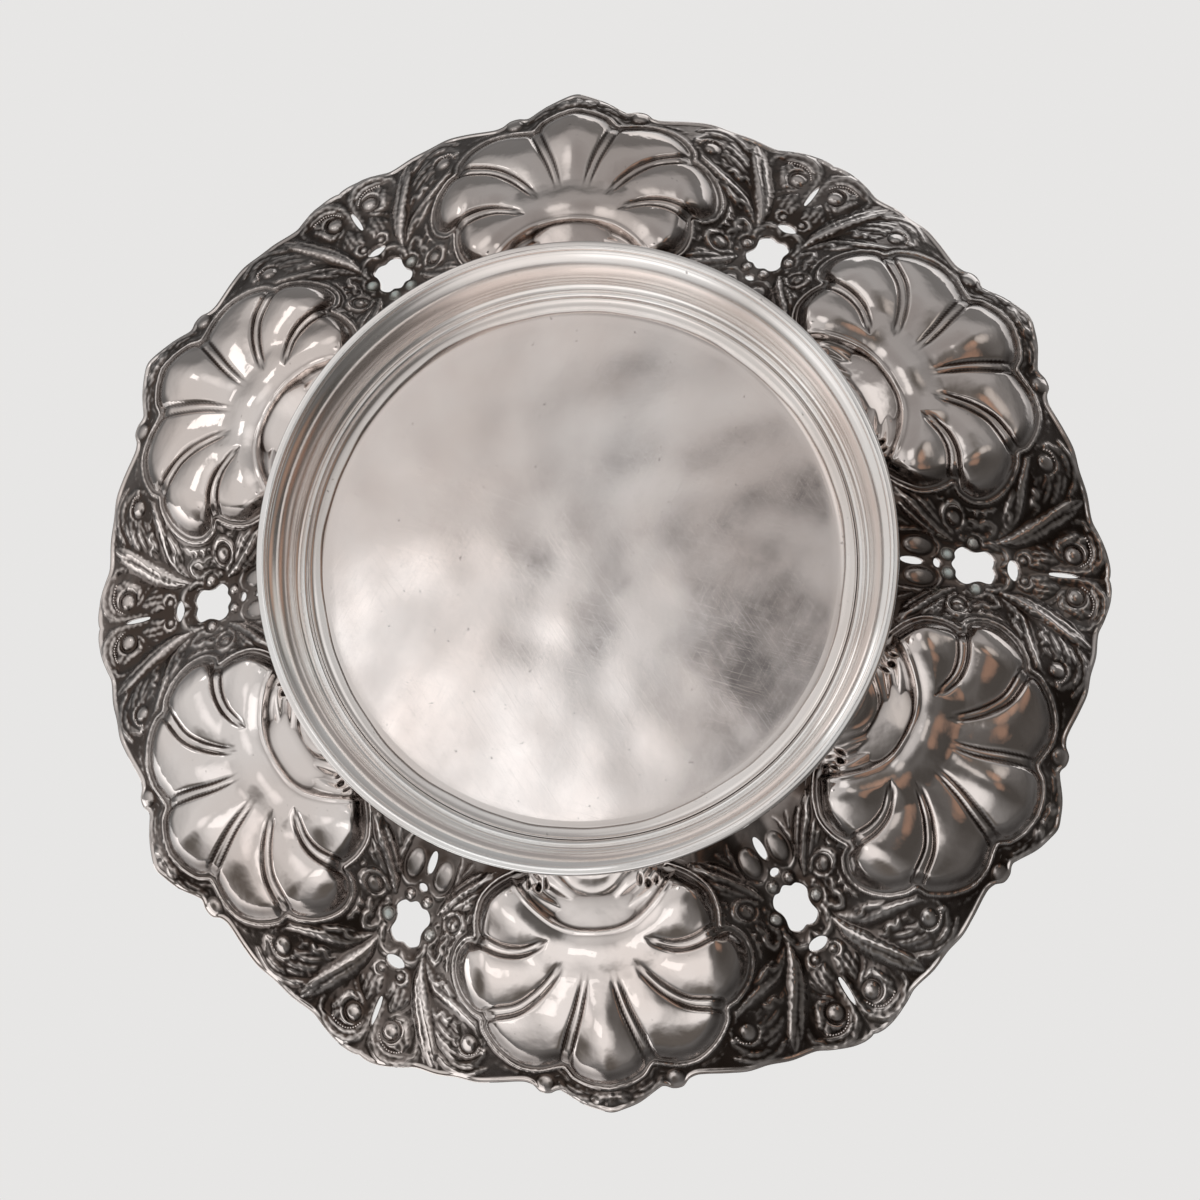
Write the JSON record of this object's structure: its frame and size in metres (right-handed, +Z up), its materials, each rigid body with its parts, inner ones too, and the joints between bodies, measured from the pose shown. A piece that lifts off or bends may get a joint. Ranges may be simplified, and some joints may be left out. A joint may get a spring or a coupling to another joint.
{
  "type": "bonbon dish",
  "caption": "Round silver bonbon dish with stamped scallop shells and pierced acanthus scroll panels under a wavy rim, on a low spun foot.",
  "frame": {"origin": "centre of the foot's resting plane", "axes": "+Z up along the axis of the dish, +X through the tip of a shell"},
  "size_m": [0.18, 0.18, 0.0502],
  "materials": {
    "bowl_silver": "polished silver, darkened in the recesses of the stamped relief",
    "foot_silver": "polished silver with fine turning lines",
    "wire_silver": "polished silver, worn flat where it rests",
    "solder_silver": "silver solder, satin and slightly rough"
  },
  "bodies": {
    "root": {"bowl": "bowl_silver", "foot_ring": "foot_silver", "foot_base_wire": "wire_silver", "foot_solder_seam": "solder_silver"}
  },
  "joints": []
}
